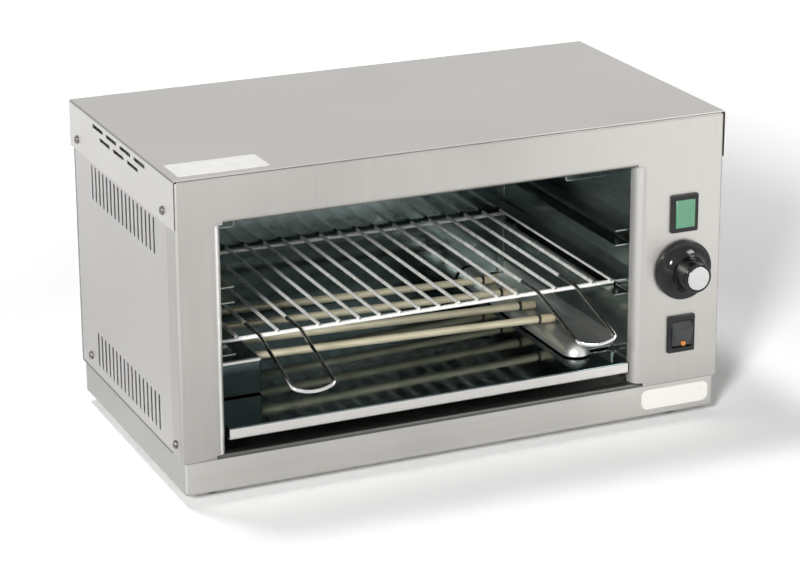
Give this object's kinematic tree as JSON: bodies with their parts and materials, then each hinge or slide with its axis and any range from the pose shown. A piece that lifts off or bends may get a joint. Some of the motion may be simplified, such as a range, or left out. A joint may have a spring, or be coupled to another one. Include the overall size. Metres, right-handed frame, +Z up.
{
  "type": "cheese melter",
  "caption": "Counter-top cheese melter: steel cabinet open at the front, wire rack with loop handles between heating rods, crumb tray, lamp, knob and rocker switch.",
  "frame": {"origin": "middle of the cabinet's width and depth, on the plane that the four feet stand on", "axes": "+X to the right seen from the front, +Y to the back, +Z up"},
  "size_m": [0.48, 0.3148, 0.266],
  "materials": {
    "brushed_sheet": "stainless sheet with a fine straight grain",
    "base_sheet": "stainless sheet, satin, slightly warm",
    "polished_sheet": "polished stainless sheet, nearly a mirror",
    "bright_wire": "bright plated wire",
    "rod_tube": "dull metal tube, tinted khaki by heat",
    "ceramic": "cream ceramic",
    "dark_metal": "dark crimped metal ring",
    "terminal_metal": "plain plated terminal metal",
    "rivet_metal": "plain aluminium",
    "screw_metal": "zinc plated steel",
    "shaft_metal": "turned steel",
    "black_plastic": "black moulded plastic",
    "knob_plastic": "glossy black phenolic",
    "cap_metal": "spun aluminium disc",
    "rocker_plastic": "dark satin plastic",
    "green_lens": "green translucent lens",
    "amber_lens": "amber translucent lens",
    "grey_plastic": "dark grey moulded plastic",
    "white_plastic": "white moulded plastic",
    "foot_rubber": "black moulded rubber",
    "wire_sleeve": "heat resistant glass fibre sleeve"
  },
  "bodies": {
    "cabinet": {"back_panel": "brushed_sheet", "back_screws": "screw_metal", "base_pan": "base_sheet", "cable_gland": "grey_plastic", "cavity_back": "polished_sheet", "ceiling_reflector": "polished_sheet", "cover_screws": "screw_metal", "earth_stud": "terminal_metal", "feet": "foot_rubber", "foot_screws": "screw_metal", "front_panel": "brushed_sheet", "gland_nut": "grey_plastic", "guide_rivets": "rivet_metal", "lamp_housing": "black_plastic", "lamp_lens": "green_lens", "left_inner_wall": "polished_sheet", "left_side_panel": "brushed_sheet", "lower_heating_rods": "rod_tube", "lower_left_guide": "polished_sheet", "lower_right_guide": "polished_sheet", "lower_rod_caps": "ceramic", "lower_rod_cradle": "polished_sheet", "lower_rod_ferrules": "dark_metal", "lower_rod_links": "terminal_metal", "lower_rod_pins": "terminal_metal", "lower_terminal_cover": "polished_sheet", "right_inner_wall": "polished_sheet", "right_side_panel": "brushed_sheet", "side_screws": "screw_metal", "switch_housing": "black_plastic", "terminal_block": "white_plastic", "timer_body": "grey_plastic", "timer_screws": "screw_metal", "top_cover": "brushed_sheet", "upper_heating_rods": "rod_tube", "upper_left_bracket": "polished_sheet", "upper_left_guide": "polished_sheet", "upper_right_bracket": "polished_sheet", "upper_right_guide": "polished_sheet", "upper_rod_caps": "ceramic", "upper_rod_links": "terminal_metal", "upper_rod_pins": "terminal_metal", "wiring_loom": "wire_sleeve"},
    "rack": {"rack_grid": "bright_wire", "rack_left_handle": "bright_wire", "rack_right_handle": "bright_wire"},
    "tray": {"crumb_tray": "polished_sheet"},
    "knob": {"timer_shaft": "shaft_metal", "timer_knob": "knob_plastic", "knob_cap": "cap_metal"},
    "rocker": {"switch_rocker": "rocker_plastic", "switch_window": "amber_lens"}
  },
  "joints": [
    {"name": "rack_slide", "type": "slide", "parent": "cabinet", "child": "rack", "axis": [0, -1, 0], "range_m": [0, 0.2]},
    {"name": "tray_slide", "type": "slide", "parent": "cabinet", "child": "tray", "axis": [0, -1, 0], "range_m": [0, 0.22]},
    {"name": "knob_turn", "type": "hinge", "parent": "cabinet", "child": "knob", "pos_m": [0.201, -0.1275, 0.135], "axis": [0, 1, 0], "range_deg": [0, 300]},
    {"name": "rocker_tilt", "type": "hinge", "parent": "cabinet", "child": "rocker", "pos_m": [0.201, -0.1255, 0.079], "axis": [1, 0, 0], "range_deg": [0, 18]}
  ]
}
